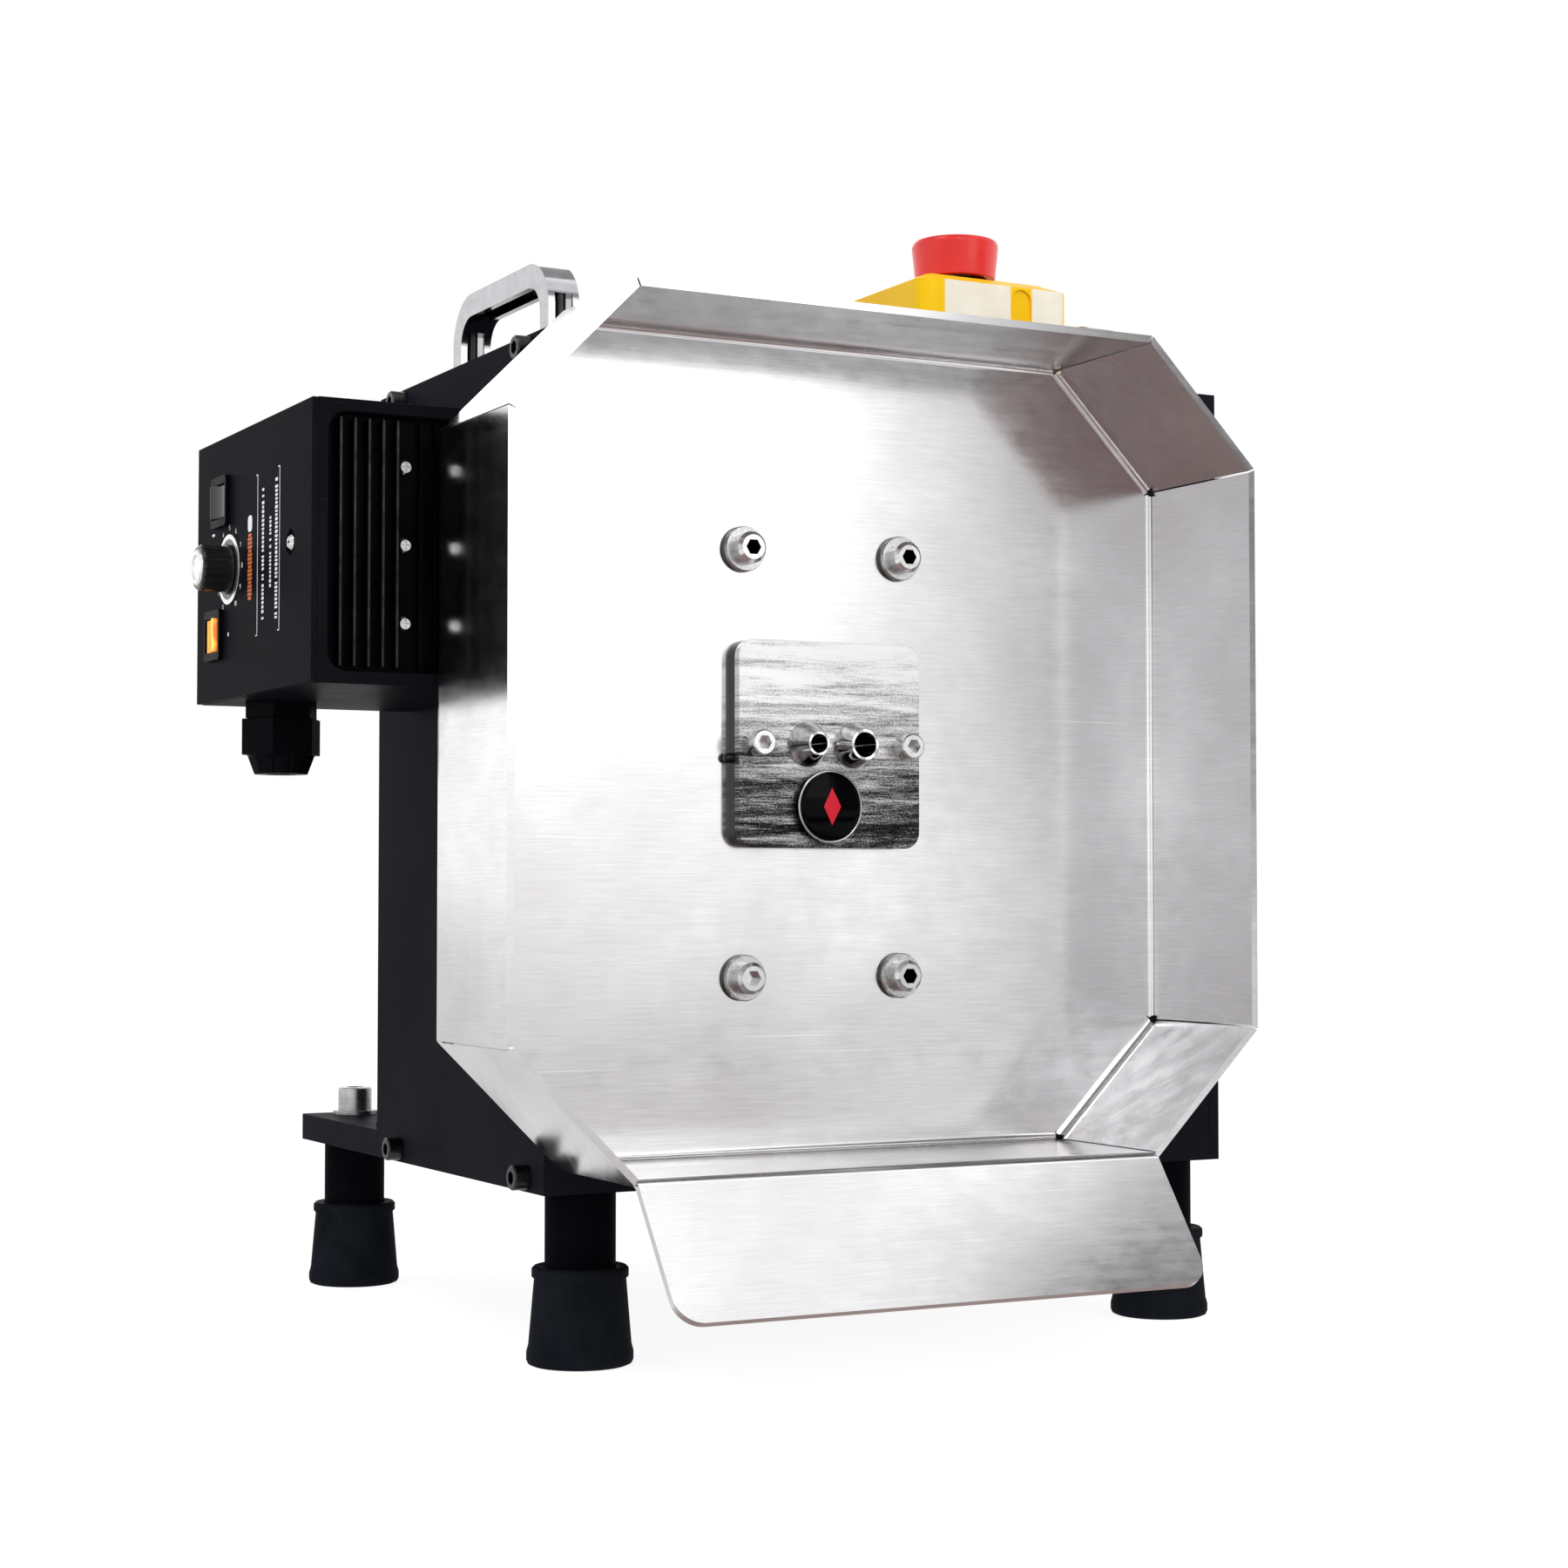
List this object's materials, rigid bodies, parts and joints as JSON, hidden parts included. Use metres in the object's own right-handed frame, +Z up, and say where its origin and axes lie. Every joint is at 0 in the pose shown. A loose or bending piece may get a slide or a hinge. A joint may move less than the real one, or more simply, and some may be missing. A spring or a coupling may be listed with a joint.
{
  "type": "tabletop stem stripping machine",
  "caption": "Tabletop machine: driven rollers pull stems through nozzles in a die, and what is stripped off falls in an octagonal steel tray with an apron.",
  "frame": {"origin": "on the floor, under the middle of the whole machine's box", "axes": "+Z up, -Y is the front, where the nozzles and the tray are, +X is to the right of someone facing the tray"},
  "size_m": [0.4458, 0.4146, 0.4885],
  "materials": {
    "black_powder_coat": "fine satin powder coat",
    "brushed_stainless": "directional brushed",
    "dark_brushed_steel": "coarse horizontal brushing",
    "polished_steel": "turned and polished",
    "screw_steel": "zinc plated",
    "black_oxide": "black oxide",
    "handle_chrome": "bright plated",
    "foot_rubber": "matt moulded",
    "washer_rubber": "matt",
    "roller_rubber": "grooved",
    "gloss_black": "high gloss",
    "black_plastic": "fine moulded texture",
    "grey_plastic": "moulded",
    "stop_yellow": "moulded, slight gloss",
    "stop_red": "moulded, slight gloss",
    "amber_lens": "translucent, lit",
    "silver_plastic": "metallised disc",
    "dial_white": "printed ring",
    "black_anodised": "black anodised",
    "machined_aluminium": "milled",
    "cast_aluminium": "cast",
    "motor_enamel": "enamel",
    "ground_steel": "ground",
    "gear_brass": "hobbed",
    "board_green": "solder mask",
    "sheet_zinc": "zinc plated sheet"
  },
  "bodies": {
    "chassis": {"base_plate": "black_powder_coat", "top_plate": "black_powder_coat", "front_plate": "black_powder_coat", "left_side_plate": "black_powder_coat", "right_side_plate": "black_powder_coat", "rear_panel": "black_powder_coat", "side_plate_screws": "black_oxide", "leg_posts": "black_powder_coat", "rubber_feet": "foot_rubber", "leg_bolts": "screw_steel", "collection_tray": "brushed_stainless", "tray_bolts": "polished_steel", "tray_washers": "washer_rubber", "die_plate": "dark_brushed_steel", "die_backing_plate": "black_oxide", "small_nozzle": "polished_steel", "large_nozzle": "polished_steel", "die_screws": "polished_steel", "die_cap": "gloss_black", "die_side_pin": "black_oxide", "left_handle": "handle_chrome", "right_handle": "handle_chrome", "inner_cap_screws": "screw_steel", "stop_box_base": "grey_plastic", "stop_box_lid": "stop_yellow", "stop_collar": "black_plastic", "stop_spring": "ground_steel", "stop_contact_block": "grey_plastic", "controller_case": "black_powder_coat", "control_face_plate": "black_powder_coat", "heat_sink": "black_anodised", "panel_screws": "polished_steel", "dial_plate": "dial_white", "speed_potentiometer": "grey_plastic", "switch_housings": "black_plastic", "circuit_board": "board_green", "gland_body": "black_plastic", "gland_nut": "black_plastic", "left_bearing_plate": "machined_aluminium", "right_bearing_plate": "machined_aluminium", "roller_bearings": "ground_steel", "gearbox": "cast_aluminium", "motor": "motor_enamel", "motor_bracket": "sheet_zinc", "outlet_chute": "brushed_stainless"},
    "lower_drive": {"lower_roller": "roller_rubber", "lower_shaft": "ground_steel", "lower_gear": "gear_brass", "shaft_coupling": "machined_aluminium", "output_shaft": "ground_steel"},
    "upper_drive": {"upper_roller": "roller_rubber", "upper_shaft": "ground_steel", "upper_gear": "gear_brass"},
    "speed_dial": {"speed_knob": "black_plastic", "knob_cap": "silver_plastic", "knob_shaft": "ground_steel"},
    "run_switch": {"run_rocker": "black_plastic"},
    "power_switch": {"power_rocker": "amber_lens"},
    "stop_slider": {"stop_plunger": "silver_plastic"},
    "stop_button": {"stop_mushroom": "stop_red"}
  },
  "joints": [
    {"name": "lower_roller_spin", "type": "hinge", "parent": "chassis", "child": "lower_drive", "pos_m": [0.01095, -0.06165, 0.227], "axis": [1, 0, 0], "continuous": true},
    {"name": "upper_roller_spin", "type": "hinge", "parent": "chassis", "child": "upper_drive", "pos_m": [0.01095, -0.06165, 0.271], "axis": [1, 0, 0], "continuous": true},
    {"name": "speed_knob_turn", "type": "hinge", "parent": "chassis", "child": "speed_dial", "pos_m": [-0.20855, 0.008, 0.32145], "axis": [-1, 0, 0], "range_deg": [-150, 150]},
    {"name": "run_switch_rock", "type": "hinge", "parent": "chassis", "child": "run_switch", "pos_m": [-0.20355, 0.0185, 0.35055], "axis": [0, 0, 1], "range_deg": [-20, 0]},
    {"name": "power_switch_rock", "type": "hinge", "parent": "chassis", "child": "power_switch", "pos_m": [-0.20355, 0.0265, 0.29545], "axis": [0, 0, 1], "range_deg": [0, 20]},
    {"name": "stop_push", "type": "slide", "parent": "chassis", "child": "stop_slider", "axis": [0, 0, -1], "range_m": [0, 0.004], "stiffness_N_per_m": 1500, "springref_m": -0.002, "deforming": ["stop_spring"]},
    {"name": "stop_twist", "type": "hinge", "parent": "stop_slider", "child": "stop_button", "pos_m": [0.12595, -0.01965, 0.48], "axis": [0, 0, -1], "range_deg": [0, 45], "stiffness_Nm_per_rad": 0.05}
  ],
  "couplings": [
    {"joint": "upper_roller_spin", "follows": "lower_roller_spin", "ratio": -1}
  ]
}
